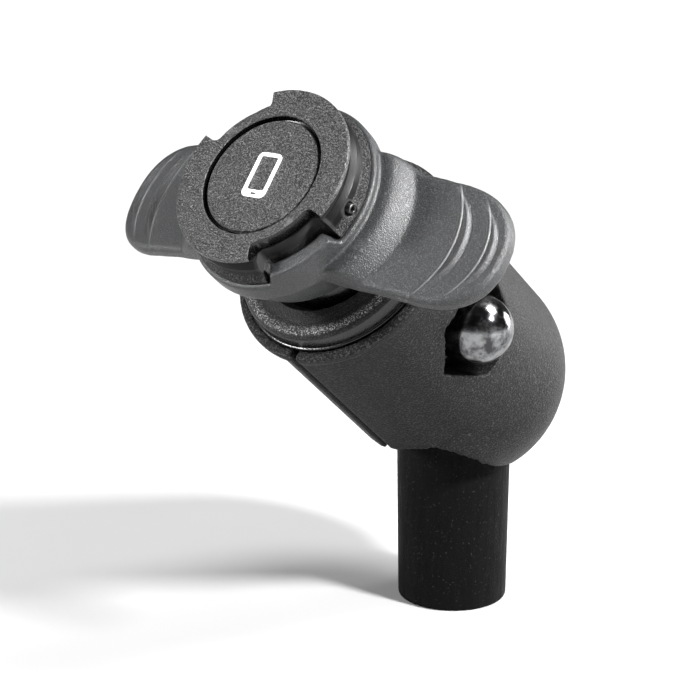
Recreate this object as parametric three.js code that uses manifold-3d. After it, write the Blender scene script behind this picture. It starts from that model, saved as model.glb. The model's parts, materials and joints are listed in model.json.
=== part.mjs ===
// Phone mount for a steering stem: a tapered post with a ball on its top, a two-part
// clamped elbow, a second ball joint and a bayonet head with a sprung lever ring.
// Millimetres, +Z up. Origin: centre of the post's lower end. The elbow leans towards -Y,
// the wings of the lever ring lie along X, and the clamp bolt runs along X.

import * as THREE from 'three';
import { mergeVertices } from 'three/addons/utils/BufferGeometryUtils.js';
import Module from 'manifold-3d';

const wasm = await Module();
wasm.setup();

// ---- Driving dimensions ------------------------------------------------------------

const GAP = 0.3;                    // clearance between neighbouring pieces
const DEGREE = Math.PI / 180;

const LEAN = 50 * DEGREE;           // elbow and head axis, from the vertical
const AXES_CROSS = 47.5;            // height where the elbow's axis meets the post's

const POST_FOOT_RADIUS = 11.1;
const POST_NECK_RADIUS = 11.6;
const POST_BORE_RADIUS = 7.5;
const POST_EDGE = 0.6;

const LOWER_PIVOT = 48.3;           // centre of the post's ball, above the origin
const LOWER_BALL_RADIUS = 16.2;
const LOWER_LINER = { inner: 16.5, outer: 17.6, half: 9.5 };
const LOWER_SOCKET_RADIUS = 17.9;

const SLOT_RADIUS = 13.6;           // opening that the post swings in
const SLOT_SWING = 27;              // degrees, towards the head
const SLOT_STEPS = 5;

const SHELL_RADIUS = 22.4;          // round body of the elbow
const SHELL_OFFSET = 0.6;           // its axis lies this far up the slope
const KEEL = { rise: 0.6, width: 8, hollow: 1.5, hollowAt: 35, hollowWidth: 16 };
const RIM_HEIGHT = 47.6;            // end face of the elbow, along its axis
const RIM_THICKNESS = 1.8;
const SPLIT = 0.9;                  // gap between the two shells

const BOLT = { y: -0.9, z: 27.3, radius: 4, head: 6.5, headLength: 7.8 };
const POCKET_ACROSS_FLATS = 18.2;
const POCKET_FLOOR = 11;            // distance of the nut's seat from the split plane
const COUNTERBORE_RADIUS = 8.6;
const NUT = { acrossFlats: 11.6, hexLength: 6, domeRadius: 6.7, domeCentre: 21.4 };
const PIN = { radius: 1.5, half: 5, spots: [[13, 26], [-14, 24]] };

const UPPER_PIVOT = 44.5;           // centre of the head's ball, along the elbow's axis
const UPPER_BALL = { radius: 13, cut: 6 };
const UPPER_LINER = { inner: 13.3, outer: 14.3, low: 5, high: 1.5 };
const UPPER_SOCKET_RADIUS = 14.6;
const UPPER_SOCKET_FLOOR = 35.4;

const FACE = 32.5;                  // bayonet face above the head's ball
const DISC_RADIUS = 17.9;
const DISC_EDGE = 0.9;
const GROOVE_RADIUS = 15.8;
const CAP_RADIUS = 11.6;
const CAP_SINK = 0.4;
const NOTCH = { floor: 14.4, half: 25, corner: 1.6, at: [45, 225] };
const LUG = { inner: 16.4, outer: 19.35, half: 21, top: 4.7 };
const SCREW = { circle: 9.2, at: [90, 210, 330] };
const STOP_PIN = { at: 86, depth: 5.6, radius: 0.95, bore: 0.5 };

const WING = { root: 14, reach: 44.2, halfWidth: 12, straight: 31.5, offset: -0.5, power: 2.3 };
const WING_FLARE = { widening: 1.3, full: 18.5, end: 24 };   // on the upper side, at the ring
const PLATE_SLOPE = 0.21;
const CREASE = { radius: 25.4, depth: 13.1 };
const PLATE_THICKNESS = 2.9;
const RIDGES = [                     // crescents: outside one circle, inside another
  { hollow: { centre: 15, radius: 19.8 }, crest: { centre: 23.8, radius: 12.9 } },
  { hollow: { centre: 25.2, radius: 15.4 }, crest: { centre: 31.8, radius: 10.3 } },
];
const RIDGE_RISE = 0.5;

// ---- Finishes ----------------------------------------------------------------------

function finish(color, roughness, metalness) {
  return new THREE.MeshStandardMaterial({ color, roughness, metalness });
}

const BLACK_RUBBER = finish(0x17181a, 0.75, 0);
const CHARCOAL = finish(0x2b2c2e, 0.6, 0);
const GRAINED_BLACK = finish(0x1f2022, 0.7, 0);
const BLUE_GREY = finish(0x4a4e54, 0.6, 0);
const CHROME = finish(0xd8dade, 0.08, 1);
const ZINC = finish(0x9a9c9e, 0.35, 1);
const ACETAL = finish(0xcfcdc4, 0.5, 0);

// ---- Solids ------------------------------------------------------------------------

function toSolid(geometry) {
  const bare = geometry.clone();
  bare.deleteAttribute('normal');
  bare.deleteAttribute('uv');
  const merged = mergeVertices(bare, 1e-4);
  const mesh = new wasm.Mesh({
    numProp: 3,
    vertProperties: new Float32Array(merged.attributes.position.array),
    triVerts: new Uint32Array(merged.index.array),
  });
  return new wasm.Manifold(mesh);
}

function toGeometry(solid) {
  const mesh = solid.getMesh();
  const geometry = new THREE.BufferGeometry();
  geometry.setAttribute('position', new THREE.BufferAttribute(mesh.vertProperties, 3));
  geometry.setIndex(new THREE.BufferAttribute(mesh.triVerts, 1));
  return geometry;
}

function piece(name, solid, material) {
  const mesh = new THREE.Mesh(toGeometry(solid), material);
  mesh.name = name;
  return mesh;
}

// A closed profile of [radius, height] points, turned about Z.
function turned(profile, segments = 32) {
  const points = profile.map(([radius, height]) => new THREE.Vector2(radius, height));
  const area = profile.reduce((sum, [r, z], i) => {
    const [nextR, nextZ] = profile[(i + 1) % profile.length];
    return sum + r * nextZ - nextR * z;
  }, 0);
  if (area < 0) {
    points.reverse();
  }
  points.push(points[0].clone());
  return toSolid(new THREE.LatheGeometry(points, segments).rotateX(Math.PI / 2));
}

// Points of an arc of a sphere's outline, from one height to another.
function sphereArc(radius, from, to, centre = 0, steps = 5) {
  const points = [];
  const start = Math.asin(from / radius);
  const end = Math.asin(to / radius);
  for (let i = 0; i <= steps; i += 1) {
    const angle = start + (end - start) * i / steps;
    points.push([radius * Math.cos(angle), centre + radius * Math.sin(angle)]);
  }
  return points;
}

function tube(inner, outer, low, high, segments = 24) {
  return turned([[inner, low], [outer, low], [outer, high], [inner, high]], segments);
}

function rod(radius, low, high, segments = 24) {
  const geometry = new THREE.CylinderGeometry(radius, radius, high - low, segments);
  geometry.rotateX(Math.PI / 2).translate(0, 0, (high + low) / 2);
  return toSolid(geometry);
}

function block(low, high) {
  const size = high.map((value, i) => value - low[i]);
  const geometry = new THREE.BoxGeometry(...size);
  geometry.translate(...high.map((value, i) => (value + low[i]) / 2));
  return toSolid(geometry);
}

// A flat outline of [x, y] points, extruded along Z.
function plate(outline, low, high) {
  const shape = new THREE.Shape(outline.map(([x, y]) => new THREE.Vector2(x, y)));
  const geometry = new THREE.ExtrudeGeometry(shape, { depth: high - low, bevelEnabled: false });
  return toSolid(geometry.translate(0, 0, low));
}

function hexagon(acrossFlats, low, high) {
  const corner = acrossFlats / Math.sqrt(3);
  const outline = [0, 1, 2, 3, 4, 5].map((i) => {
    const angle = i * 60 * DEGREE;
    return [corner * Math.cos(angle), corner * Math.sin(angle)];
  });
  return plate(outline, low, high);
}

// Lays a solid made along Z down along X, at the clamp bolt's place in the elbow.
function alongX(solid, y = BOLT.y, z = BOLT.z) {
  return solid.rotate([0, 90, 0]).translate([0, y, z]);
}

// Angle on the head, from the down-slope side towards +X.
function headPoint(radius, degrees) {
  return [radius * Math.sin(degrees * DEGREE), -radius * Math.cos(degrees * DEGREE)];
}

// A ring sector between two angles, extruded along Z, with its inner corners rounded.
function sector(inner, outer, centre, half, low, high, corner = 0) {
  const outline = [];
  const steps = 10;
  const turnIn = corner / inner / DEGREE;
  outline.push(headPoint(outer, centre - half));
  if (corner > 0) {
    outline.push(headPoint(inner + corner, centre - half));
    outline.push(headPoint(inner + corner * 0.3, centre - half + turnIn * 0.3));
  }
  for (let i = 0; i <= steps; i += 1) {
    const reach = half - turnIn;
    outline.push(headPoint(inner, centre - reach + 2 * reach * i / steps));
  }
  if (corner > 0) {
    outline.push(headPoint(inner + corner * 0.3, centre + half - turnIn * 0.3));
    outline.push(headPoint(inner + corner, centre + half));
  }
  outline.push(headPoint(outer, centre + half));
  for (let i = 1; i < steps; i += 1) {
    outline.push(headPoint(outer, centre + half - 2 * half * i / steps));
  }
  return plate(outline, low, high);
}

// ---- Post --------------------------------------------------------------------------

function makePost() {
  const neckHeight = LOWER_PIVOT - Math.sqrt(LOWER_BALL_RADIUS ** 2 - POST_NECK_RADIUS ** 2);
  const drop = neckHeight - LOWER_PIVOT;
  const top = Math.sqrt(LOWER_BALL_RADIUS ** 2 - POST_BORE_RADIUS ** 2);
  return turned([
    [POST_BORE_RADIUS, 0],
    [POST_FOOT_RADIUS - POST_EDGE, 0],
    [POST_FOOT_RADIUS, POST_EDGE],
    ...sphereArc(LOWER_BALL_RADIUS, drop, top, LOWER_PIVOT, 9),
  ]);
}

function makePostPlug() {
  return turned([
    [0, 0],
    [POST_BORE_RADIUS - GAP, 0],
    [POST_BORE_RADIUS - GAP, 8],
    [5, 8],
    [5, 3],
    [0, 3],
  ], 32);
}

function makeLowerLiner() {
  const { inner, outer, half } = LOWER_LINER;
  return turned([
    ...sphereArc(outer, -half, half, LOWER_PIVOT),
    ...sphereArc(inner, half, -half, LOWER_PIVOT),
  ]);
}

// ---- Elbow -------------------------------------------------------------------------

// Outline across the elbow: round, with a low keel along the split and a hollow beside it.
function elbowOutline() {
  const outline = [];
  const steps = 48;
  for (let i = 0; i < steps; i += 1) {
    const degrees = -180 + 360 * i / steps;
    const side = Math.abs(degrees);
    const keel = KEEL.rise * Math.exp(-((side / KEEL.width) ** 2));
    const hollow = KEEL.hollow * Math.exp(-(((side - KEEL.hollowAt) / KEEL.hollowWidth) ** 2));
    const [x, y] = headPoint(SHELL_RADIUS + keel - hollow, degrees);
    outline.push([x, y + SHELL_OFFSET]);
  }
  return outline;
}

// Where the post's ball centre lies in the elbow's own frame.
function lowerPivotInElbow() {
  const rise = LOWER_PIVOT - AXES_CROSS;
  return [0, rise * Math.sin(LEAN), rise * Math.cos(LEAN)];
}

function makeShells() {
  const pivot = lowerPivotInElbow();
  const bulb = toSolid(new THREE.SphereGeometry(SHELL_RADIUS, 40, 20)).translate(pivot);
  const body = plate(elbowOutline(), pivot[2], RIM_HEIGHT - RIM_THICKNESS + 0.01);
  const rim = turned([
    [0, RIM_HEIGHT - RIM_THICKNESS - 0.8],
    [SHELL_RADIUS - 0.8, RIM_HEIGHT - RIM_THICKNESS - 0.8],
    [SHELL_RADIUS, RIM_HEIGHT - RIM_THICKNESS],
    [SHELL_RADIUS, RIM_HEIGHT - 0.4],
    [SHELL_RADIUS - 0.4, RIM_HEIGHT],
    [0, RIM_HEIGHT],
  ], 48);
  let elbow = bulb.add(body).add(rim);

  elbow = elbow.subtract(toSolid(new THREE.SphereGeometry(LOWER_SOCKET_RADIUS, 32, 16)).translate(pivot));
  const opening = rod(SLOT_RADIUS, -40, 0, 32);
  for (let i = 0; i <= SLOT_STEPS; i += 1) {
    const swing = -SLOT_SWING * i / SLOT_STEPS;
    const tilt = swing - LEAN / DEGREE;
    elbow = elbow.subtract(opening.rotate([tilt, 0, 0]).translate(pivot));
  }

  const floorDrop = UPPER_SOCKET_FLOOR - UPPER_PIVOT;
  elbow = elbow.subtract(turned([
    [0, UPPER_SOCKET_FLOOR],
    ...sphereArc(UPPER_SOCKET_RADIUS, floorDrop, -0.6, UPPER_PIVOT, 4),
    [19.6, UPPER_PIVOT - 0.5],
    [19.6, RIM_HEIGHT - 1.7],
    [18.5, RIM_HEIGHT - 1.7],
    [18.5, RIM_HEIGHT - 1.1],
    [20.35, RIM_HEIGHT - 1.1],
    [20.35, RIM_HEIGHT + 1],
    [0, RIM_HEIGHT + 1],
  ], 48));

  elbow = elbow.subtract(alongX(rod(BOLT.radius + GAP, -40, 40)));
  elbow = elbow.subtract(alongX(hexagon(POCKET_ACROSS_FLATS, POCKET_FLOOR, 40).rotate([0, 0, 30])));
  elbow = elbow.subtract(alongX(rod(COUNTERBORE_RADIUS, -40, -POCKET_FLOOR)));
  for (const [y, z] of PIN.spots) {
    elbow = elbow.subtract(alongX(rod(PIN.radius + GAP, -PIN.half - GAP, PIN.half + GAP, 20), y, z));
  }

  const half = SPLIT / 2;
  const right = elbow.intersect(block([half, -60, -60], [60, 60, 80]));
  const left = elbow.intersect(block([-60, -60, -60], [-half, 60, 80]));
  return { right, left };
}

function makeCollar() {
  return turned([
    [15, RIM_HEIGHT - 3.3],
    [19.3, RIM_HEIGHT - 3.3],
    [19.3, RIM_HEIGHT - 2],
    [18.2, RIM_HEIGHT - 2],
    [18.2, RIM_HEIGHT - 0.8],
    [20.04, RIM_HEIGHT - 0.8],
    [20.04, RIM_HEIGHT + 1.35],
    [19.7, RIM_HEIGHT + 2.9],
    [18.9, RIM_HEIGHT + 3.95],
    [16.6, RIM_HEIGHT + 3.8],
    [14.14, RIM_HEIGHT + 4.35],
    [12.7, RIM_HEIGHT + 2.1],
    [12.6, RIM_HEIGHT + 1.3],
    [15, RIM_HEIGHT + 1.3],
  ], 48);
}

function makeBolt() {
  const seat = POCKET_FLOOR + GAP + 1.6 + GAP;
  const head = rod(BOLT.head, -seat - BOLT.headLength, -seat);
  const shank = rod(BOLT.radius, -seat - 1, POCKET_FLOOR + 9);
  const socket = hexagon(6, -seat - BOLT.headLength - 1, -seat - BOLT.headLength + 4);
  return alongX(head.add(shank).subtract(socket));
}

function makeDomeNut() {
  const { acrossFlats, hexLength, domeRadius, domeCentre } = NUT;
  const low = POCKET_FLOOR + GAP + 1.6 + GAP;
  const hex = hexagon(acrossFlats, low, low + hexLength).rotate([0, 0, 30]);
  const corner = acrossFlats / Math.sqrt(3);
  const chamfer = turned([
    [0, low - 1],
    [corner - 0.2, low - 1],
    [corner + 0.4, low + hexLength - 1.2],
    [acrossFlats / 2 - 0.2, low + hexLength],
    [0, low + hexLength],
  ]);
  const dome = turned([
    [0, low + hexLength - 1],
    [domeRadius, low + hexLength - 1],
    ...sphereArc(domeRadius, 0, domeRadius * 0.999, domeCentre, 6),
    [0, domeCentre + domeRadius],
  ], 32);
  const thread = rod(BOLT.radius + GAP, low - 1, POCKET_FLOOR + 9 + GAP);
  return alongX(hex.intersect(chamfer).add(dome).subtract(thread));
}

function makeBoltWasher(side) {
  const near = POCKET_FLOOR + GAP;
  const ends = [side * near, side * (near + 1.6)].sort((a, b) => a - b);
  return alongX(tube(BOLT.radius + GAP, 7.6, ends[0], ends[1]));
}

function makePin(y, z) {
  return alongX(rod(PIN.radius, -PIN.half, PIN.half, 20), y, z);
}

// ---- Head: heights run up from the ball's centre, depths run down from the face ------

function atDepth(profile) {
  return profile.map(([radius, depth]) => [radius, FACE - depth]);
}

function cutNotches(solid, lowDepth, highDepth) {
  return NOTCH.at.reduce((rest, angle) => rest.subtract(
    sector(NOTCH.floor, 24, angle, NOTCH.half, FACE - lowDepth, FACE - highDepth, NOTCH.corner),
  ), solid);
}

function makeUpperLiner() {
  const { inner, outer, low, high } = UPPER_LINER;
  return turned([
    ...sphereArc(outer, -low, high),
    ...sphereArc(inner, high, -low),
  ]);
}

function makeBallStud() {
  const { radius, cut } = UPPER_BALL;
  const neck = 7.5;
  const shoulder = FACE - 19;
  const top = FACE - 7.2;
  return turned([
    [0, -cut],
    ...sphereArc(radius, -cut, Math.sqrt(radius ** 2 - neck ** 2)),
    [neck, shoulder - 2.2],
    [9.5, shoulder - 0.8],
    [9.5, shoulder],
    [6.5, shoulder],
    [6.5, top],
    [3.3, top],
    [3.3, top - 14],
    [0, top - 14],
  ]);
}

function makeSpringSeat() {
  return turned(atDepth([[6.8, 18.7], [12.8, 18.7], [12.8, 17.5], [6.8, 17.5]]));
}

// A round-wire coil with both ends resting flat.
function makeReturnSpring() {
  const wire = 0.45;
  const coil = 11.4;
  const turns = 2.5;
  const bottom = FACE - 17.2 + wire;
  const top = FACE - 12.5 - wire;
  const points = [];
  const steps = 32;
  for (let i = 0; i <= steps; i += 1) {
    const angle = 2 * Math.PI * turns * i / steps;
    points.push(new THREE.Vector3(
      coil * Math.cos(angle),
      coil * Math.sin(angle),
      bottom + (top - bottom) * i / steps,
    ));
  }
  const section = new THREE.Shape();
  section.absarc(0, 0, wire, 0, 2 * Math.PI);
  const geometry = new THREE.ExtrudeGeometry(section, {
    steps,
    curveSegments: 3,
    extrudePath: new THREE.CatmullRomCurve3(points),
  });
  return toSolid(geometry);
}

function makeBase() {
  let base = turned(atDepth([
    [12.3, 4.4],
    [12.3, 2.9],
    [16.6, 2.9],
    [17.6, 3.9],
    [17.5, 5.7],
    [18.6, 6.8],
    [18.6, 7.2],
    [16.8, 7.4],
    [16.8, 10.3],
    [9, 10.3],
    [9, 16.5],
    [6.8, 16.5],
    [6.8, 6.9],
    [3.6, 6.9],
    [3.6, 5.7],
    [6.2, 5.7],
    [6.2, 4.4],
  ]), 64);
  base = cutNotches(base, 12, 1);
  for (const angle of SCREW.at) {
    const [x, y] = headPoint(SCREW.circle, angle);
    base = base.subtract(rod(1.8, FACE - 9.4, FACE - 3, 16).translate([x, y, 0]));
  }
  return base.subtract(stopPinAt(rod(STOP_PIN.radius + GAP, 13.2, 25, 16)));
}

function makeDisc() {
  let disc = turned(atDepth([
    [6.3, 4.1],
    [12, 4.1],
    [12, 2.6],
    [GROOVE_RADIUS, 2.6],
    [GROOVE_RADIUS, DISC_EDGE],
    [DISC_RADIUS, DISC_EDGE],
    [DISC_RADIUS, 0],
    [12.3, 0],
    [12.3, 1.7],
    [6.3, 1.7],
  ]), 64);
  disc = cutNotches(disc, 5, -1);
  for (const angle of SCREW.at) {
    const [x, y] = headPoint(SCREW.circle, angle);
    disc = disc.subtract(screwForm(GAP).translate([x, y, 0]));
  }
  return disc;
}

// Countersunk screw, grown on all sides by a clearance.
function screwForm(grow) {
  return turned([
    [0, FACE - 9 - grow],
    [1.5 + grow, FACE - 9 - grow],
    [1.5 + grow, FACE - 3.4],
    [2.8 + grow, FACE - 2.1],
    [2.8 + grow, FACE - 1.9 + grow * 2],
    [0, FACE - 1.9 + grow * 2],
  ], 16);
}

function makeDiscScrew(angle) {
  const [x, y] = headPoint(SCREW.circle, angle);
  const slot = hexagon(2, FACE - 3, FACE);
  return screwForm(0).subtract(slot).translate([x, y, 0]);
}

function makeCentreScrew() {
  const head = rod(5, FACE - 4.1, FACE - 2);
  const shank = rod(3, FACE - 18, FACE - 4);
  const socket = hexagon(4, FACE - 3.6, FACE);
  return head.add(shank).subtract(socket);
}

function makeCentreWasher() {
  return tube(3.3, 5.8, FACE - 5.4, FACE - 4.4);
}

function makeCap() {
  return turned(atDepth([
    [0, 1.4],
    [CAP_RADIUS, 1.4],
    [CAP_RADIUS, CAP_SINK + 0.2],
    [CAP_RADIUS - 0.2, CAP_SINK],
    [0, CAP_SINK],
  ]), 64);
}

// Turns a rod made along Z to point outwards at the stop pin's place.
function stopPinAt(solid) {
  return solid.rotate([90, 0, 0]).rotate([0, 0, STOP_PIN.at]).translate([0, 0, FACE - STOP_PIN.depth]);
}

function makeStopPin() {
  return stopPinAt(tube(STOP_PIN.bore, STOP_PIN.radius, 13.6, 18.5, 16));
}

// Plan outline of one wing, from inside the ring out to the rounded tip.
function wingOutline(side) {
  const { root, reach, halfWidth, straight, offset, power } = WING;
  const { widening, full, end } = WING_FLARE;
  const outline = [[side * root, offset - halfWidth]];
  const steps = 14;
  for (let i = 0; i <= steps; i += 1) {
    const angle = -90 * DEGREE + Math.PI * i / steps;
    const across = Math.sign(Math.sin(angle)) * Math.abs(Math.sin(angle)) ** (2 / power);
    const along = Math.abs(Math.cos(angle)) ** (2 / power);
    outline.push([side * (straight + (reach - straight) * along), offset + halfWidth * across]);
  }
  outline.push([side * end, offset + halfWidth]);
  outline.push([side * full, offset + halfWidth + widening]);
  outline.push([side * root, offset + halfWidth + widening]);
  return side > 0 ? outline : outline.reverse();
}

// Side profile of points [x, depth], extruded across the wings along Y.
function acrossWings(profile, low, high) {
  const upright = plate(profile.map(([x, depth]) => [x, FACE - depth]), -high, -low);
  return upright.rotate([90, 0, 0]);
}

function plateDepth(x) {
  return CREASE.depth + PLATE_SLOPE * (x - CREASE.radius);
}

function makeWing(side) {
  const far = WING.reach + 1;
  const flat = [[22, plateDepth(22)], [far, plateDepth(far)]];
  const under = [[far, plateDepth(far) + PLATE_THICKNESS], [22, plateDepth(22) + PLATE_THICKNESS]];
  const band = [...flat, ...under].map(([x, depth]) => [side * x, depth]);
  let wing = acrossWings(side > 0 ? band.reverse() : band, -20, 20);

  const ridgeBand = [
    ...flat.map(([x, depth]) => [x, depth - RIDGE_RISE]),
    ...[...flat].reverse().map(([x, depth]) => [x, depth + 1]),
  ].map(([x, depth]) => [side * x, depth]);
  const ridgeLayer = acrossWings(side > 0 ? ridgeBand.reverse() : ridgeBand, -20, 20);
  for (const { hollow, crest } of RIDGES) {
    const within = rod(crest.radius, 0, FACE).translate([side * crest.centre, WING.offset, 0]);
    const without = rod(hollow.radius, 0, FACE, 48).translate([side * hollow.centre, WING.offset, 0]);
    wing = wing.add(ridgeLayer.intersect(within.subtract(without)));
  }

  const shoulder = turned(atDepth([
    [17, 8.9],
    [21.6, 9.3],
    [23.2, 10.4],
    [CREASE.radius, CREASE.depth],
    [CREASE.radius, CREASE.depth + PLATE_THICKNESS],
    [23.4, 15.5],
    [17, 14],
  ]), 64);
  return wing.add(shoulder).intersect(plate(wingOutline(side), 0, FACE));
}

function makeLeverRing() {
  let ring = turned(atDepth([
    [17.9, 7.4],
    [19, 7.4],
    [19.35, 7.8],
    [19.35, 11.2],
    [15.5, 19.6],
    [13.3, 19.1],
    [13.3, 18],
    [16, 12.2],
    [9.4, 12.2],
    [9.4, 10.6],
    [17.9, 10.6],
  ]), 64);
  const hollow = turned(atDepth([
    [0, 30],
    [13.3, 30],
    [13.3, 18],
    [16, 12.2],
    [9.4, 12.2],
    [9.4, 10.6],
    [17.9, 10.6],
    [17.9, 0],
    [0, 0],
  ]), 64);
  const wings = makeWing(1).add(makeWing(-1)).subtract(hollow);
  ring = ring.add(wings);
  for (const angle of NOTCH.at) {
    const lug = sector(LUG.inner, LUG.outer, angle, LUG.half, FACE - 11, FACE - LUG.top);
    ring = ring.add(lug);
  }
  return ring;
}

// ---- Assembly ----------------------------------------------------------------------

const group = new THREE.Group();

group.add(piece('post', makePost(), BLACK_RUBBER));
group.add(piece('post_end_plug', makePostPlug(), BLACK_RUBBER));
group.add(piece('lower_ball_liner', makeLowerLiner(), ACETAL));

const elbow = new THREE.Group();
elbow.position.set(0, 0, AXES_CROSS);
elbow.rotation.x = LEAN;
group.add(elbow);

const shells = makeShells();
elbow.add(piece('housing_shell_right', shells.right, CHARCOAL));
elbow.add(piece('housing_shell_left', shells.left, CHARCOAL));
elbow.add(piece('ball_retaining_collar', makeCollar(), GRAINED_BLACK));
elbow.add(piece('clamp_bolt', makeBolt(), ZINC));
elbow.add(piece('bolt_washer', makeBoltWasher(-1), ZINC));
elbow.add(piece('nut_washer', makeBoltWasher(1), ZINC));
elbow.add(piece('dome_nut', makeDomeNut(), CHROME));
elbow.add(piece('locating_pin_upper', makePin(...PIN.spots[0]), ZINC));
elbow.add(piece('locating_pin_lower', makePin(...PIN.spots[1]), ZINC));

const head = new THREE.Group();
head.position.z = UPPER_PIVOT;
elbow.add(head);

head.add(piece('upper_ball_liner', makeUpperLiner(), ACETAL));
head.add(piece('ball_stud', makeBallStud(), GRAINED_BLACK));
head.add(piece('spring_seat', makeSpringSeat(), ZINC));
head.add(piece('lever_return_spring', makeReturnSpring(), ZINC));
head.add(piece('lever_ring', makeLeverRing(), BLUE_GREY));
head.add(piece('bayonet_base', makeBase(), GRAINED_BLACK));
head.add(piece('bayonet_disc', makeDisc(), GRAINED_BLACK));
head.add(piece('centre_cap', makeCap(), GRAINED_BLACK));
head.add(piece('centre_screw', makeCentreScrew(), ZINC));
head.add(piece('centre_screw_washer', makeCentreWasher(), ZINC));
head.add(piece('stop_pin', makeStopPin(), ZINC));
SCREW.at.forEach((angle, i) => {
  head.add(piece(`disc_screw_${i + 1}`, makeDiscScrew(angle), ZINC));
});

export default group;
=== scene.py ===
import json
import math

import bmesh
import bpy
import numpy as np
from mathutils import Matrix, Vector


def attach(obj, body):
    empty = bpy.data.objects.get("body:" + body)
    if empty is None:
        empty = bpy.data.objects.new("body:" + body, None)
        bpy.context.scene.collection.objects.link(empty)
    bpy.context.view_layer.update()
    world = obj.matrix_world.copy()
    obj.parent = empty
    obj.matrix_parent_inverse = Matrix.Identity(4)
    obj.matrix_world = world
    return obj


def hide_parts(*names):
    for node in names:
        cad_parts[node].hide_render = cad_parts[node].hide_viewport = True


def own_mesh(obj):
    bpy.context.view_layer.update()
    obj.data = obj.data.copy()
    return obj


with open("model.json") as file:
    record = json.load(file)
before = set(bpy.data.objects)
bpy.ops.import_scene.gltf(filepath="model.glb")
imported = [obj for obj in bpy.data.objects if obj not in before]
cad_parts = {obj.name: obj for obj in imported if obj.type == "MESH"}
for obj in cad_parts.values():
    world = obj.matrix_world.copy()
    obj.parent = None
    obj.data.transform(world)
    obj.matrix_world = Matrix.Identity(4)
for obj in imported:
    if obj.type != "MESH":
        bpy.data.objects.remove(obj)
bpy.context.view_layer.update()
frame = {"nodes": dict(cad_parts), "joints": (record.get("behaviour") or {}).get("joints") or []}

# ---- Sizes, in millimetres and degrees, in the frame of the assembly they belong to ---

MM = 0.001                       # metres
POST = {"foot": 11.1, "neck": 11.6, "bore": 7.5, "ball": 16.2}
LOWER_LINER = {"inner": 16.5, "outer": 17.6, "half": 9.5, "socket": 17.9}
SLOT = {"radius": 13.6, "swing": 27, "steps": 12}
SHELL = {"radius": 22.4, "offset": 0.6, "rim": 47.6, "band": 1.8, "split": 0.9}
KEEL = {"rise": 0.6, "width": 8, "hollow": 1.5, "hollow_at": 35, "hollow_width": 16}
BOLT = {"y": -0.9, "z": 27.3, "radius": 4, "head": 6.5, "length": 7.8, "seat": 13.2}
POCKET = {"across_flats": 18.2, "floor": 11, "counterbore": 8.6}
NUT = {"across_flats": 11.6, "hex": 6, "dome": 6.7, "centre": 21.4}
BALL_HEIGHT = 44.5               # head's ball centre, along the elbow's axis
FACE = 32.5                      # bayonet face above the head's ball centre
NOTCH = {"floor": 14.4, "half": 25, "corner": 2.2, "at": (45, 225)}
LUG = {"inner": 16.4, "outer": 19.35, "top": 4.7, "half_top": 19, "half_foot": 23.5}
WING = {"root": 14, "straight": 31.5, "reach": 44.2, "half": 12, "offset": -0.5, "power": 2.3}
FLARE = {"widening": 1.3, "full": 18.5, "end": 24}     # on a wing's upper side, at the ring
CREASE = {"radius": 25.4, "depth": 13.1, "slope": 0.21, "thickness": 2.9}
STEPS = (                        # crescents: outside one circle and inside another
    {"hollow": (15.0, 19.8), "crest": (23.8, 12.9)},
    {"hollow": (25.2, 15.4), "crest": (31.8, 10.3)},
)
SHOULDER = {                     # depth of the wing's shoulder at distances from the axis
    "radius": (0, 19.3, 20.8, 21.8, 22.6, 23.4, 24.2, 24.9, 25.4, 60),
    "depth": (8.9, 8.9, 9.1, 9.45, 10.05, 10.95, 12.0, 12.75, 13.1, 60),
}
SKIRT = {"radius": 23.4, "depth": 15.5}                # a wing's underside, within that radius
SPRING = {"seat": 17.2, "coil": 11.4, "wire": 0.45, "length": 3.8, "turns": 2.5, "squashed": 0.57}
PHONE = {"half_width": 2.7, "half_length": 4.6, "line": 0.75, "chin": 1.5}
SHELL_VOXEL = 0.40               # how finely the mouldings are remeshed
SHELL_PASSES = 3                 # and how often they are relaxed after that
LEVER_VOXEL = 0.31
LEVER_PASSES = 2

# ---- Frames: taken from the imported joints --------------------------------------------

JOINTS = {joint["name"]: joint for joint in frame["joints"]}
HEAD_PIVOT = Vector(JOINTS["head_spin"]["pos_m"])
HEAD_AXIS = Vector(JOINTS["head_spin"]["axis"])
POST_PIVOT = Vector(JOINTS["elbow_tilt"]["pos_m"])
SIDEWAYS = Vector((1, 0, 0))
UP_SLOPE = HEAD_AXIS.cross(SIDEWAYS)
LEAN = math.acos(HEAD_AXIS.z)
LEANING = Matrix.Rotation(LEAN, 4, "X")
UPRIGHT = Matrix.Identity(4)
ELBOW = Matrix.Translation(HEAD_PIVOT - HEAD_AXIS * BALL_HEIGHT * MM) @ LEANING
HEAD = Matrix.Translation(HEAD_PIVOT) @ LEANING
POST_PIVOT_HEIGHT = POST_PIVOT.z / MM
PIVOT_IN_ELBOW = (ELBOW.inverted() @ POST_PIVOT) / MM
ALONG_X = Matrix.Translation((0, BOLT["y"], BOLT["z"])) @ Matrix.Rotation(math.pi / 2, 4, "Y")

# ---- Shader maths --------------------------------------------------------------------


class Wire:
    """A socket of a material that sums can be written with."""

    def __init__(self, shader, socket):
        self.shader = shader
        self.socket = socket

    def maths(self, operation, *values):
        inputs = dict(enumerate(values))
        node = self.shader.node("ShaderNodeMath", {"operation": operation}, inputs)
        return Wire(self.shader, node.outputs[0])

    def __add__(self, other):
        return self.maths("ADD", self, other)

    def __radd__(self, other):
        return self.maths("ADD", other, self)

    def __sub__(self, other):
        return self.maths("SUBTRACT", self, other)

    def __rsub__(self, other):
        return self.maths("SUBTRACT", other, self)

    def __mul__(self, other):
        return self.maths("MULTIPLY", self, other)

    def __rmul__(self, other):
        return self.maths("MULTIPLY", other, self)

    def __abs__(self):
        return self.maths("ABSOLUTE", self)

    def root(self):
        return self.maths("SQRT", self)


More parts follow.
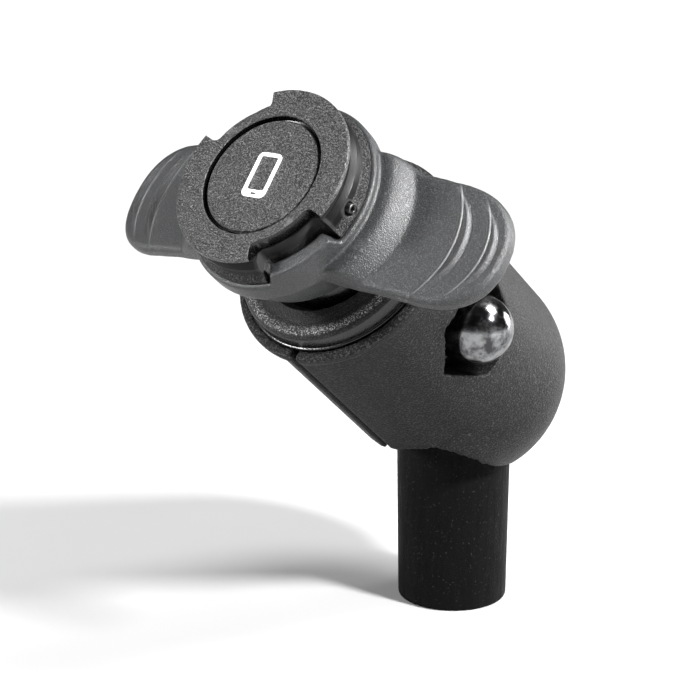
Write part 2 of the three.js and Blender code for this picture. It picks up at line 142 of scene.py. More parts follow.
class Shader:
    """One material, built node by node round a Principled BSDF."""

    def __init__(self, name, roughness, metallic=0.0, specular=0.5):
        self.material = bpy.data.materials.new(name)
        self.material.use_nodes = True
        self.tree = self.material.node_tree
        self.tree.nodes.clear()
        self.surface = self.node("ShaderNodeBsdfPrincipled", {}, {
            "Roughness": roughness,
            "Metallic": metallic,
            "Specular IOR Level": specular,
        })
        self.node("ShaderNodeOutputMaterial", {}, {"Surface": self.surface.outputs[0]})
        self.place = self.node("ShaderNodeTexCoord", {}, {}).outputs["Object"]

    def node(self, kind, settings, inputs):
        node = self.tree.nodes.new(kind)
        for key, value in settings.items():
            setattr(node, key, value)
        for key, value in inputs.items():
            self.feed(node.inputs[key], value)
        return node

    def feed(self, socket, value):
        if isinstance(value, Wire):
            value = value.socket
        if isinstance(value, bpy.types.NodeSocket):
            self.tree.links.new(value, socket)
        else:
            socket.default_value = value

    def noise(self, size_mm, detail=2.0, roughness=0.5):
        """Cloudy noise from 0 to 1, with features of about that size."""
        node = self.node("ShaderNodeTexNoise", {}, {
            "Vector": self.place,
            "Scale": 1 / (size_mm * MM),
            "Detail": detail,
            "Roughness": roughness,
        })
        return Wire(self, node.outputs["Fac"])

    def cells(self, size_mm):
        """Distance to the nearest of scattered points, as in pebbled leather."""
        node = self.node("ShaderNodeTexVoronoi", {"feature": "F1"}, {
            "Vector": self.place,
            "Scale": 1 / (size_mm * MM),
        })
        return Wire(self, node.outputs["Distance"])

    def between(self, value, low, high, to_low=0.0, to_high=1.0):
        """Eases a value from one range into another."""
        node = self.node("ShaderNodeMapRange", {"interpolation_type": "SMOOTHSTEP"}, {
            "Value": value,
            "From Min": low,
            "From Max": high,
            "To Min": to_low,
            "To Max": to_high,
        })
        return Wire(self, node.outputs[0])

    def blend(self, mask, first, second):
        """Mixes two colours by a mask."""
        node = self.node("ShaderNodeMix", {"data_type": "RGBA"}, {0: mask, 6: first, 7: second})
        return Wire(self, node.outputs[2])

    def height_along(self, origin, axis):
        """Distance along an axis from a point of the object, in millimetres."""
        away = self.node("ShaderNodeVectorMath", {"operation": "SUBTRACT"}, {
            0: self.place,
            1: tuple(origin),
        })
        dot = self.node("ShaderNodeVectorMath", {"operation": "DOT_PRODUCT"}, {
            0: away.outputs[0],
            1: tuple(axis),
        })
        return Wire(self, dot.outputs["Value"]) * (1 / MM)

    def edges(self, low=0.51, high=0.6):
        """Mask of outer edges, where a moulding rubs bright first."""
        node = self.node("ShaderNodeNewGeometry", {}, {})
        return self.between(Wire(self, node.outputs["Pointiness"]), low, high)

    def bump(self, height, depth_mm, strength=1.0):
        node = self.node("ShaderNodeBump", {}, {
            "Height": height,
            "Distance": depth_mm * MM,
            "Strength": strength,
        })
        self.feed(self.surface.inputs["Normal"], node.outputs[0])

    def colour(self, value):
        self.feed(self.surface.inputs["Base Color"], value)

    def roughness(self, value):
        self.feed(self.surface.inputs["Roughness"], value)


def grey(value, blue=1.0):
    return (value, value * (1 + (blue - 1) * 0.5), value * blue, 1)


def square(value):
    return value * value


def moulded_plastic(name, dark, light, grain_mm, depth_mm, roughness, speckle):
    """Spark-eroded plastic: pebbled grain, cloudy colour, rubbed edges."""
    shader = Shader(name, roughness, specular=0.45)
    grain = shader.noise(grain_mm, 2.0, 0.55)
    pebbles = shader.cells(grain_mm * 1.4)
    clouds = shader.noise(9.0, 3.0)
    lift = shader.between(grain, 0.50, 0.64) * speckle
    body = shader.blend(clouds, grey(dark * 0.92), grey(dark * 1.08))
    specked = shader.blend(lift, body, grey(light))
    rubbed = shader.blend(shader.edges() * 0.35, specked, grey(light * 1.15))
    shader.colour(rubbed)
    shader.roughness(shader.between(grain, 0.3, 0.7, roughness + 0.08, roughness - 0.08))
    shader.bump(grain * 0.7 + pebbles * 0.5, depth_mm)
    return shader


def shell_plastic():
    """Charcoal shells: fine grain on the body, coarse grain on the end face."""
    shader = Shader("charcoal_shell", 0.5, specular=0.17)
    height = shader.height_along(ELBOW.translation, HEAD_AXIS)
    end_face = shader.between(height, SHELL["rim"] - 0.7, SHELL["rim"] - 0.4)
    fine = shader.noise(0.30, 2.0, 0.55)
    coarse = shader.noise(0.34, 3.0, 0.65)
    clouds = shader.noise(12.0, 2.0)
    body = shader.blend(clouds, grey(0.003), grey(0.005))
    flecks = shader.blend(shader.between(fine, 0.54, 0.68) * 0.7, body, grey(0.05))
    face = shader.blend(shader.between(coarse, 0.50, 0.62) * 0.8, grey(0.002), grey(0.085))
    both = shader.blend(end_face, flecks, face)
    # edges lightened: edge wear, and a painted highlight line along the rim's edges
    rubbed = shader.blend(shader.edges(0.56, 0.64) * 0.4, both, grey(0.08))
    shader.colour(rubbed)
    shader.roughness(shader.between(fine, 0.3, 0.7, 0.56, 0.42))
    shader.bump(fine * (1 - end_face) * 0.8 + coarse * end_face * 1.2, 0.26)
    return shader


def lever_plastic():
    """Blue-grey plastic: along each grip step a fine bead and a crest with painted highlights, and a
    ramp with painted shade.
    """
    shader = Shader("blue_grey", 0.38, specular=0.42)
    grain = shader.noise(0.24, 2.0, 0.55)
    clouds = shader.noise(9.0, 3.0)
    across = abs(shader.height_along(HEAD_PIVOT, SIDEWAYS))
    along = shader.height_along(HEAD_PIVOT, UP_SLOPE) - WING["offset"]
    on_wing = shader.between(across, CREASE["radius"], CREASE["radius"] + 1)
    beads, crest_highlights, ramp_shade = 0.0, 0.0, 0.0
    for step in STEPS:
        centre, radius = step["hollow"]
        inner = (square(across - centre) + square(along)).root() - radius
        centre, radius = step["crest"]
        outer = radius - (square(across - centre) + square(along)).root()
        inside = shader.between(outer + inner, -1.1, 0.4) * on_wing
        # painted highlights: the bead and the crest line of each step are lightened in colour
        beads = beads + shader.between(abs(inner + 0.15), 0.05, 0.30, 1.0, 0.0) * inside
        crest_highlights = crest_highlights + shader.between(abs(outer - 0.1), 0.05, 0.35, 1.0, 0.0) * inside
        # painted shade: the ramp of each step is darkened in colour
        ramp_shade = ramp_shade + shader.between(inner, 0.0, 0.3) * shader.between(outer, 0.2, 0.9)
    lift = shader.between(grain, 0.50, 0.64) * 0.7
    dark = shader.blend(clouds, grey(0.014, 1.08), grey(0.018, 1.08))
    specked = shader.blend(lift, dark, grey(0.055, 1.08))
    shaded = shader.blend(ramp_shade * on_wing * 0.6, specked, grey(0.008, 1.08))
    upper_half = shader.between(along, -4.0, 3.0)
    # lightens the edges (edge wear) and the beads and crests (painted highlights, the crests only on the
    # up-slope half)
    lightening = shader.edges(0.56, 0.66) * 0.35 + beads * 0.45 + crest_highlights * 0.3 * upper_half
    shader.colour(shader.blend(lightening, shaded, grey(0.16, 1.04)))
    shader.roughness(shader.between(grain, 0.3, 0.7, 0.46, 0.30))
    shader.bump(grain * 0.14 + beads * 0.22, 1.0)
    return shader


def collar_plastic():
    """Coarse-grained collar with a painted highlight, in bright flecks, along its crown."""
    shader = Shader("coarse_black", 0.36, specular=0.2)
    height = shader.height_along(ELBOW.translation, HEAD_AXIS)
    across = shader.height_along(ELBOW.translation, SIDEWAYS)
    up_slope = shader.height_along(ELBOW.translation, UP_SLOPE)
    radius = (square(across) + square(up_slope)).root()
    coarse = shader.noise(0.28, 2.0, 0.6)
    # painted highlight: a band round the crown's top is lightened with bright flecks
    crown = shader.between(height, SHELL["rim"] + 3.62, SHELL["rim"] + 3.88)
    lightening = crown * shader.between(radius, 16.6, 17.3)
    flecks = shader.between(coarse, 0.50, 0.64)
    body = shader.blend(flecks * 0.5, grey(0.002), grey(0.05))
    bright = shader.blend(flecks, grey(0.02), grey(0.42))
    shader.colour(shader.blend(lightening, body, bright))
    shader.roughness(shader.between(coarse, 0.3, 0.7, 0.46, 0.30))
    shader.bump(coarse, 0.26)
    return shader


def flanged_plastic():
    """Smooth black body whose lower flange has a coarse grain."""
    shader = Shader("bayonet_black", 0.34, specular=0.12)
    height = shader.height_along(HEAD_PIVOT, HEAD_AXIS)
    flange = shader.between(height, FACE - 6.0, FACE - 5.2, 1.0, 0.0)
    coarse = shader.noise(0.30, 2.0, 0.6)
    smooth = shader.blend(shader.noise(7.0, 2.0), grey(0.004), grey(0.007))
    grain = shader.blend(shader.between(coarse, 0.48, 0.66) * 0.8, grey(0.004), grey(0.07))
    both = shader.blend(flange, smooth, grain)
    shader.colour(shader.blend(shader.edges() * 0.25, both, grey(0.08)))
    shader.roughness(shader.between(coarse, 0.3, 0.7, 0.40, 0.28))
    shader.bump(coarse * flange + shader.noise(0.3) * 0.06, 0.25)
    return shader


def dark_steel():
    """Oiled spring steel of the small stop pin."""
    shader = Shader("dark_steel", 0.35, 1.0)
    clouds = shader.noise(0.8, 3.0)
    shader.colour(shader.blend(clouds, grey(0.05), grey(0.14)))
    shader.roughness(shader.between(clouds, 0.3, 0.7, 0.3, 0.5))
    shader.bump(shader.noise(0.1), 0.005)
    return shader


def post_rubber():
    """Nearly black sleeve with faint drag lines and dust flecks."""
    shader = Shader("post_rubber", 0.6, specular=0.05)
    stretched = shader.node("ShaderNodeMapping", {}, {
        "Vector": shader.place,
        "Scale": (1.0, 1.0, 0.12),
    })
    drag = shader.node("ShaderNodeTexNoise", {}, {
        "Vector": stretched.outputs[0],
        "Scale": 1 / (0.9 * MM),
        "Detail": 3.0,
    })
    lines = Wire(shader, drag.outputs["Fac"])
    grain = shader.noise(0.35, 3.0, 0.6)
    dust = shader.between(shader.noise(0.5, 1.0), 0.66, 0.74)
    body = shader.blend(lines, grey(0.001), grey(0.003))
    shader.colour(shader.blend(dust * 0.3, body, grey(0.04)))
    shader.roughness(shader.between(lines, 0.3, 0.7, 0.66, 0.52))
    shader.bump(grain * 0.8 + lines * 0.2, 0.12)
    return shader


def chrome_plate():
    """Bright plating with a faint orange peel and wiping marks."""
    shader = Shader("chrome_plate", 0.05, 1.0)
    peel = shader.noise(2.4, 1.0)
    wipes = shader.noise(3.5, 5.0, 0.7)
    tarnish = shader.between(wipes, 0.40, 0.62)
    shader.colour(shader.blend(tarnish, (0.05, 0.051, 0.053, 1), (0.24, 0.243, 0.247, 1)))
    shader.roughness(shader.between(wipes, 0.35, 0.75, 0.12, 0.28))
    shader.bump(peel, 0.05, 0.6)
    return shader


def zinc_plate():
    """Zinc-plated steel: fine turning marks and cloudy passivation."""
    shader = Shader("zinc_plate", 0.3, 1.0)
    clouds = shader.noise(2.5, 4.0, 0.6)
    fine = shader.noise(0.12, 2.0)
    shader.colour(shader.blend(clouds, (0.26, 0.265, 0.27, 1), (0.38, 0.385, 0.38, 1)))
    shader.roughness(shader.between(clouds, 0.3, 0.7, 0.24, 0.4))
    shader.bump(fine, 0.004)
    return shader


def acetal():
    """Natural bearing plastic, slightly waxy."""
    shader = Shader("natural_acetal", 0.4)
    clouds = shader.noise(4.0, 2.0)
    shader.colour(shader.blend(clouds, (0.55, 0.54, 0.50, 1), (0.64, 0.63, 0.59, 1)))
    shader.roughness(shader.between(clouds, 0.3, 0.7, 0.36, 0.48))
    shader.bump(shader.noise(0.5, 2.0), 0.01)
    return shader


def white_print():
    """Pad-printed white, thin enough to follow the grain below."""
    shader = Shader("white_print", 0.45)
    grain = shader.noise(0.35, 2.0)
    shader.colour(shader.blend(shader.between(grain, 0.25, 0.5), grey(0.70), grey(0.86)))
    shader.roughness(shader.between(grain, 0.3, 0.7, 0.4, 0.55))
    shader.bump(grain, 0.015)
    return shader


SHELL_BLACK = shell_plastic().material
HEAD_BLACK = moulded_plastic(
    "spark_grained_black", dark=0.006, light=0.11, grain_mm=0.28, depth_mm=0.30,
    roughness=0.34, speckle=0.8,
).material
COLLAR_BLACK = collar_plastic().material
SMOOTH_BLACK = moulded_plastic(
    "smooth_black", dark=0.001, light=0.003, grain_mm=0.25, depth_mm=0.02,
    roughness=0.22, speckle=0.3,
).material
LEVER_GREY = lever_plastic().material
BASE_BLACK = flanged_plastic().material
PIN_GREY = dark_steel().material
POST_BLACK = post_rubber().material
CHROME = chrome_plate().material
ZINC = zinc_plate().material
NATURAL = acetal().material
WHITE = white_print().material

# ---- Mesh tools ----------------------------------------------------------------------


CORNER_STEPS = 5                 # chords in a softened corner
WELD = 1e-5


def to_mesh(name, points, faces):
    mesh = bpy.data.meshes.new(name)
    mesh.from_pydata([tuple(point) for point in points], [], faces)
    mesh.validate()
    return mesh


def softened(profile):
    """A closed outline of (x, y) or (x, y, radius) points, its corners rounded to arcs."""
    result = []
    count = len(profile)
    for i, corner in enumerate(profile):
        here = Vector(corner[:2])
        radius = corner[2] if len(corner) > 2 else 0
        if radius == 0:
            result.append(tuple(here))
            continue
        back = Vector(profile[i - 1][:2]) - here
        ahead = Vector(profile[(i + 1) % count][:2]) - here
        angle = back.angle(ahead)
        reach = radius / math.tan(angle / 2)
        reach = min(reach, back.length * 0.49, ahead.length * 0.49)
        size = reach * math.tan(angle / 2)
        start = here + back.normalized() * reach
        end = here + ahead.normalized() * reach
        inward = (back.normalized() + ahead.normalized()).normalized()
        centre = here + inward * math.hypot(reach, size)
        for k in range(CORNER_STEPS + 1):
            chord = (start - centre).lerp(end - centre, k / CORNER_STEPS)
            result.append(tuple(centre + chord.normalized() * size))
    return result


def arc(radius, low, high, centre=0.0, steps=24):
    """Points on a sphere's outline, between two heights from its centre."""
    first, last = math.asin(low / radius), math.asin(high / radius)
    angles = [first + (last - first) * i / steps for i in range(steps + 1)]
    return [(radius * math.cos(a), centre + radius * math.sin(a)) for a in angles]


def turned(profile, sides=192):
    """A closed profile of radius and height, corners softened, turned about Z."""
    outline = softened(profile)
    points, rings = [], []
    for radius, height in outline:
        start = len(points)
        if radius < 1e-6:
            points.append((0, 0, height))
            rings.append([start] * sides)
            continue
        for k in range(sides):
            angle = 2 * math.pi * k / sides
            points.append((radius * math.cos(angle), radius * math.sin(angle), height))
        rings.append([start + k for k in range(sides)])
    faces = []
    for i, ring in enumerate(rings):
        above = rings[(i + 1) % len(rings)]
        for k in range(sides):
            n = (k + 1) % sides
            loop = [ring[k], ring[n], above[n], above[k]]
            loop = [v for j, v in enumerate(loop) if v != loop[j - 1]]
            if len(loop) > 2:
                faces.append(loop)
    return outward(to_mesh("turned", points, faces))


def prism(outline, low, high, top_outline=None):
    """An outline extruded from low to high; the top may have another outline."""
    top_outline = top_outline or outline
    count = len(outline)
    points = [(x, y, low) for x, y in outline] + [(x, y, high) for x, y in top_outline]
    faces = [list(range(count))[::-1], list(range(count, 2 * count))]
    for i in range(count):
        n = (i + 1) % count
        faces.append([i, n, count + n, count + i])
    return outward(to_mesh("prism", points, faces))


def outward(mesh):
    """Merges doubles and turns all faces of a closed mesh outwards."""
    work = bmesh.new()
    work.from_mesh(mesh)
    bmesh.ops.remove_doubles(work, verts=work.verts, dist=WELD)
    bmesh.ops.recalc_face_normals(work, faces=work.faces)
    work.to_mesh(mesh)
    work.free()
    return mesh


def moved(mesh, matrix):
    mesh.transform(matrix)
    return mesh


def with_modifiers(mesh, *modifiers):
    """The mesh after a stack of modifiers, each a type and its settings."""
    thing = bpy.data.objects.new("work", mesh)
    bpy.context.scene.collection.objects.link(thing)
    for kind, settings in modifiers:
        modifier = thing.modifiers.new(kind, kind)
        for key, value in settings.items():
            setattr(modifier, key, value)
    bpy.context.view_layer.update()
    graph = bpy.context.evaluated_depsgraph_get()
    result = bpy.data.meshes.new_from_object(thing.evaluated_get(graph))
    bpy.data.objects.remove(thing)
    return result


def combined(mesh, other, operation):
    tool = bpy.data.objects.new("tool", other)
    bpy.context.scene.collection.objects.link(tool)
    result = with_modifiers(mesh, ("BOOLEAN", {
        "operation": operation,
        "solver": "MANIFOLD",
        "object": tool,
    }))
    bpy.data.objects.remove(tool)
    return result


def cut(mesh, *tools):
    for tool in tools:
        mesh = combined(mesh, tool, "DIFFERENCE")
    return mesh


def joined(mesh, *others):
    for other in others:
        mesh = combined(mesh, other, "UNION")
    return mesh


def moulded(mesh, voxel, passes):
    """Remeshes evenly and relaxes, so that edges take the radius a mould gives."""
    return with_modifiers(
        mesh,
        ("REMESH", {"mode": "VOXEL", "voxel_size": voxel, "adaptivity": 0.0}),
        ("SMOOTH", {"factor": 0.5, "iterations": passes}),
    )


def eased(mesh, width):
    """Breaks sharp edges with a small bevel."""
    return with_modifiers(mesh, ("BEVEL", {
        "width": width,
        "segments": 3,
        "limit_method": "ANGLE",
        "angle_limit": math.radians(35),
        "use_clamp_overlap": True,
    }))


def finished(name, mesh, place, material, body, slot, *nodes, smooth=40):
    """Puts a mesh made in millimetres in its place, parents it to its body, and hides the CAD pieces it
    replaces.
    """
    mesh.transform(place @ Matrix.Scale(MM, 4))
    mesh.materials.clear()
    mesh.materials.append(material)
    mesh.shade_smooth()
    mesh.set_sharp_from_angle(angle=math.radians(smooth))
    mesh.name = name
    piece = bpy.data.objects.new(name, mesh)
    bpy.context.scene.collection.objects.link(piece)
    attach(piece, body)
    if nodes:
        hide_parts(*nodes)
    return piece


def smooth_and_shade_below(piece, origin, limit):
    """Gives the faces under a height along the head's axis, from an origin, the ungrained smooth black:
    a real smooth finish on the collar's wall, painted shade on the bayonet plate's groove, skirt and
    notches.
    """
    piece.data.materials.append(SMOOTH_BLACK)
    for face in piece.data.polygons:
        height = (face.center - origin).dot(HEAD_AXIS) / MM
        face.material_index = int(height < limit)


def on_head(radius, degrees):
    """A point on the head, by its angle from the down-slope side towards +X."""
    angle = math.radians(degrees)
    return radius * math.sin(angle), -radius * math.cos(angle)


def sector(inner, outer, centre, half, corner=0.0):
    """Outline of a ring sector, its inner corners rounded if asked."""
    steps = 24
    spread = [centre + half * (1 - 2 * i / steps) for i in range(steps + 1)]
    outline = [on_head(outer, angle) for angle in spread]
    inside = [on_head(inner, angle) for angle in spread[::-1]]
    if corner:
        margin = math.degrees(corner / inner)
        inner_angles = [a for a in spread[::-1] if abs(a - centre) < half - margin]
        first = (*on_head(inner, centre - half), corner)
        last = (*on_head(inner, centre + half), corner)
        inside = [first, *[on_head(inner, a) for a in inner_angles], last]
    return softened(outline + inside)


def hexagon(across_flats, turn=0.0):
    corner = across_flats / math.sqrt(3)
    angles = [math.radians(60 * i + turn) for i in range(6)]
    return [(corner * math.cos(a), corner * math.sin(a)) for a in angles]


def at_depth(profile):
    """Turns depths below the bayonet face into heights above the ball."""
    return [(point[0], FACE - point[1], *point[2:]) for point in profile]


# ---- Post ----------------------------------------------------------------------------


def make_post():
    ball = POST["ball"]
    neck = -math.sqrt(ball ** 2 - POST["neck"] ** 2)
    top = math.sqrt(ball ** 2 - POST["bore"] ** 2)
    mesh = turned([
        (POST["bore"], 0, 0.4),
        (POST["foot"], 0, 0.9),
        *arc(ball, neck, top, POST_PIVOT_HEIGHT, 48),
    ])
    finished("tapered_post", mesh, UPRIGHT, POST_BLACK, "post", "post_rubber", "post")


def make_post_plug():
    bore = POST["bore"]
    mesh = turned([
        (0, 0.05),
        (bore - 0.3, 0.05, 0.5),
        (bore - 0.3, 8, 0.3),
        (5, 8, 0.3),
        (5, 3),
        (0, 3),
    ])
    finished("post_plug", mesh, UPRIGHT, POST_BLACK, "post", "post_rubber", "post_end_plug")


def make_liners():
    sizes = LOWER_LINER
    lower = turned([
        *arc(sizes["outer"], -sizes["half"], sizes["half"], POST_PIVOT_HEIGHT),
        *arc(sizes["inner"], sizes["half"], -sizes["half"], POST_PIVOT_HEIGHT),
    ])
    finished("lower_liner", lower, UPRIGHT, NATURAL, "swivel_liner", "acetal", "lower_ball_liner")
    upper = turned([*arc(14.3, -5, 1.5), *arc(13.3, 1.5, -5)])
    finished("upper_liner", upper, HEAD, NATURAL, "tilt_liner", "acetal", "upper_ball_liner")


# ---- Elbow ---------------------------------------------------------------------------


def elbow_outline(count=240):
    """Round section with a small keel in front and shallow hollows beside it."""
    outline = []
    for i in range(count):
        degrees = -180 + 360 * i / count
        side = abs(degrees)
        from_hollow = (side - KEEL["hollow_at"]) / KEEL["hollow_width"]
        keel = KEEL["rise"] * math.exp(-((side / KEEL["width"]) ** 2))
        hollow = KEEL["hollow"] * math.exp(-(from_hollow ** 2))
        x, y = on_head(SHELL["radius"] + keel - hollow, degrees)
        outline.append((x, y + SHELL["offset"]))
    return outline


def make_shells():
    rim, radius = SHELL["rim"], SHELL["radius"]
    to_pivot = Matrix.Translation(PIVOT_IN_ELBOW)
    bulb = moved(turned([*arc(radius, -radius, radius, 0, 96)]), to_pivot)
    body = prism(elbow_outline(), PIVOT_IN_ELBOW.z, rim - SHELL["band"] + 0.01)
    band = turned([
        (0, rim - 2.6),
        (radius - 0.8, rim - 2.6),
        (radius, rim - SHELL["band"]),
        (radius, rim, 0.45),
        (0, rim),
    ])
    elbow = joined(bulb, body, band)

    slots = None
    for i in range(SLOT["steps"] + 1):
        tilt = -LEAN - math.radians(SLOT["swing"] * i / SLOT["steps"])
        opening = turned([(0, -40), (SLOT["radius"], -40), (SLOT["radius"], 0), (0, 0)], 96)
        moved(opening, to_pivot @ Matrix.Rotation(tilt, 4, "X"))
        slots = joined(slots, opening) if slots else opening
    socket = moved(turned([*arc(LOWER_LINER["socket"], -17.9, 17.9, 0, 48)], 96), to_pivot)
    upper_bore = turned([
        (0, 35.4),
        *arc(14.6, -9.1, -0.6, BALL_HEIGHT, 16),
        (19.6, BALL_HEIGHT - 0.5),
        (19.6, rim - 1.7),
        (18.5, rim - 1.7),
        (18.5, rim - 1.1),
        (20.35, rim - 1.1),
        (20.35, rim + 1),
        (0, rim + 1),
    ])
    bolt_hole = moved(turned([(0, -40), (4.3, -40), (4.3, 40), (0, 40)], 64), ALONG_X)
    pocket = moved(prism(hexagon(POCKET["across_flats"], 30), POCKET["floor"], 40), ALONG_X)
    bore = POCKET["counterbore"]
    floor = -POCKET["floor"]
    counterbore = moved(turned([(0, -40), (bore, -40), (bore, floor), (0, floor)], 96), ALONG_X)
    elbow = cut(elbow, slots, socket, upper_bore, bolt_hole, pocket, counterbore)

    half = SHELL["split"] / 2
    corners = [(half, -60), (60, -60), (60, 60), (half, 60)]
    shells = (
        (1, "right_shell", "housing_shell_right"),
        (-1, "left_shell", "housing_shell_left"),
    )
    for side, name, node in shells:
        keep = prism([(side * x, y) for x, y in corners], -60, 80)
        shell = combined(elbow.copy(), keep, "INTERSECT")
        shell = moulded(shell, SHELL_VOXEL, SHELL_PASSES)
        finished(name, shell, ELBOW, SHELL_BLACK, "elbow", "shell_black", node, smooth=60)


def make_collar():
    rim = SHELL["rim"]
    mesh = turned([
        (15, rim - 3.3),
        (19.3, rim - 3.3, 0.3),
        (19.3, rim - 2),
        (18.2, rim - 2),
        (18.2, rim - 0.8),
        (20.3, rim - 0.8, 0.2),
        (20.3, rim + 0.35, 0.3),
        (19.95, rim + 0.45, 0.1),
        (19.6, rim + 4.15, 1.8),
        (16.6, rim + 3.6, 2.5),
        (14.2, rim + 4.4, 0.25),
        (12.7, rim + 2.1, 1.0),
        (12.6, rim + 1.3),
        (15, rim + 1.3),
    ])
    collar = finished("retaining_collar", mesh, ELBOW, COLLAR_BLACK, "elbow", "collar_black",
                      "ball_retaining_collar")
    smooth_and_shade_below(collar, ELBOW.translation, rim + 2.9)


def make_clamp():
    seat, radius = BOLT["seat"], BOLT["radius"]
    nut = NUT
    low, high = seat, seat + nut["hex"]
    corner = nut["across_flats"] / math.sqrt(3)
    hex_part = combined(prism(hexagon(nut["across_flats"], 30), low, high), turned([
        (0, low - 1),
        (corner - 0.3, low - 1),
        (corner + 0.5, low + 1.5),
        (corner + 0.5, high - 1.6),
        (nut["across_flats"] / 2 - 0.1, high),
        (0, high),
    ]), "INTERSECT")
    dome = turned([
        (0, high - 2),
        (nut["dome"], high - 2),
        *arc(nut["dome"], 0, nut["dome"], nut["centre"], 40),
    ])
    whole = eased(joined(hex_part, dome), 0.12)
    finished("chrome_cap_nut", moved(whole, ALONG_X), ELBOW, CHROME, "elbow", "chrome_plate", "dome_nut")

    end = -seat - BOLT["length"]
    head = turned([
        (0, end),
        (BOLT["head"], end, 0.7),
        (BOLT["head"], -seat, 0.2),
        (radius, -seat, 0.4),
        (radius, 12),
        (0, 12),
    ], 128)
    socket = prism(hexagon(6), end - 1, end + 4)
    bolt = eased(cut(head, socket), 0.1)
    finished("socket_bolt", moved(bolt, ALONG_X), ELBOW, ZINC, "elbow", "zinc_steel", "clamp_bolt")
    for side, name, node in ((-1, "head_washer", "bolt_washer"), (1, "seat_washer", "nut_washer")):
        near, far = sorted((side * 11.3, side * 12.9))
        ring = turned([(4.3, near), (7.6, near, 0.25), (7.6, far, 0.25), (4.3, far)], 96)
        finished(name, moved(ring, ALONG_X), ELBOW, ZINC, "elbow", "zinc_steel", node)


# ---- Head ----------------------------------------------------------------------------


def notch_tools(low, high):
    """Cutters for the two notches, between two depths below the bayonet face."""
    outlines = [
        sector(NOTCH["floor"], 24, angle, NOTCH["half"], NOTCH["corner"])
        for angle in NOTCH["at"]
    ]
    return [prism(outline, FACE - low, FACE - high) for outline in outlines]


def make_bayonet():
    disc = turned(at_depth([
        (6.3, 4.1),
        (12, 4.1),
        (12, 2.6),
        (15.8, 2.6),
        (15.8, 0.95, 0.15),
        (17.9, 0.95, 0.2),
        (17.9, 0, 0.3),
        (12.3, 0, 0.25),
        (12.3, 1.7),
        (6.3, 1.7),
    ]))
    disc = eased(cut(disc, *notch_tools(5, -1)), 0.15)
    plate = finished("bayonet_plate", disc, HEAD, HEAD_BLACK, "head", "head_black", "bayonet_disc")
    # painted shade: below 0.7 mm under the bayonet face the plate is darker, ungrained smooth black
    smooth_and_shade_below(plate, HEAD_PIVOT, FACE - 0.7)

    base = turned(at_depth([
        (12.3, 4.4),
        (12.3, 2.9),
        (16.6, 2.9, 0.25),
        (17.6, 3.9, 0.25),
        (17.5, 5.7, 0.8),
        (18.6, 6.8, 0.25),
        (18.6, 7.2, 0.1),
        (16.8, 7.4),
        (16.8, 10.3),
        (9, 10.3),
        (9, 16.5),
        (6.8, 16.5),
        (6.8, 6.9),
        (3.6, 6.9),
        (3.6, 5.7),
        (6.2, 5.7),
        (6.2, 4.4),
    ]))
    pin_place = Matrix.Translation((0, 0, FACE - 5.6)) @ Matrix.Rotation(math.radians(86), 4, "Z")
    pin_place = pin_place @ Matrix.Rotation(math.pi / 2, 4, "X")
    pin_hole = moved(turned([(0, 13.2), (1.25, 13.2), (1.25, 25), (0, 25)], 48), pin_place)
    base = eased(cut(base, *notch_tools(12, 1), pin_hole), 0.15)
    finished("bayonet_body", base, HEAD, BASE_BLACK, "head", "head_black", "bayonet_base")

    pin = turned([(0.5, 13.6), (0.95, 13.6), (0.95, 18.5, 0.2), (0.5, 18.5, 0.1)], 48)
    finished("roll_pin", moved(pin, pin_place), HEAD, PIN_GREY, "head", "zinc_steel", "stop_pin")


def make_cap():
    cap = turned(at_depth([
        (0, 1.4),
        (11.6, 1.4),
        (11.6, 0.4, 0.35),
        (6, 0.45),
        (0, 0.48),
    ]))
    finished("round_cap", cap, HEAD, HEAD_BLACK, "head", "head_black", "centre_cap")

    right = PHONE["half_width"]
    top = PHONE["half_length"]
    line = PHONE["line"]
    low, high = FACE - 0.5, FACE - 0.36
    body = bar(-right, -top, right, top, 1.1, low, high)
    screen = bar(-right + line, -top + PHONE["chin"], right - line, top - line, 0.4, low - 1, high + 1)
    button = bar(-0.7, -4.05, 0.7, -3.6, 0.2, low - 1, high + 1)
    mark = cut(body, screen, button)
    finished("phone_outline", mark, HEAD, WHITE, "head", "head_black")


def bar(left, bottom, right, top, radius, low, high):
    """A flat bar with rounded corners."""
    corners = [(left, bottom), (right, bottom), (right, top), (left, top)]
    return prism(softened([(*corner, radius) for corner in corners]), low, high)


def make_ball_stud():
    neck = math.sqrt(13 ** 2 - 7.5 ** 2)
    mesh = turned([
        (0, -6),
        *arc(13, -6, neck, 0, 32),
        (7.5, FACE - 21.2, 1.0),
        (9.5, FACE - 19.8, 0.5),
        (9.5, FACE - 19),
        (6.5, FACE - 19),
        (6.5, FACE - 7.2, 0.4),
        (3.3, FACE - 7.2),
        (3.3, FACE - 21.2),
        (0, FACE - 21.2),
    ])
    finished("ball_neck", mesh, HEAD, SMOOTH_BLACK, "ball", "head_black", "ball_stud")


def shoulder_depth(radius):
    """Depth of the wing's rounded shoulder, which falls steeply to the crease."""
    return np.interp(radius, SHOULDER["radius"], SHOULDER["depth"])


def grip_steps(x, y):
    """Rise of two crescent steps above the flat of a wing: a fine bead, a ramp, a round crest."""
    rise = np.zeros_like(x)
    for step in STEPS:
        centre, radius = step["hollow"]
        inner = np.hypot(x - centre, y - WING["offset"]) - radius
        centre, radius = step["crest"]
        outer = radius - np.hypot(x - centre, y - WING["offset"])
        width = np.maximum(inner + outer, 0)
        climb = np.clip(inner / np.maximum(width, 0.3), 0, 1)
        height = 0.7 * eased_step(width / 1.6)
        crest = eased_step((outer + 0.15) / 0.45)
        bead = 0.16 * np.exp(-(((inner + 0.2) / 0.3) ** 2)) * eased_step((width + 0.5) / 1.2)
        foot = 0.16 * np.exp(-(((outer + 0.45) / 0.3) ** 2)) * eased_step(width / 1.2)
        rise += height * climb * crest + bead - foot
    return rise


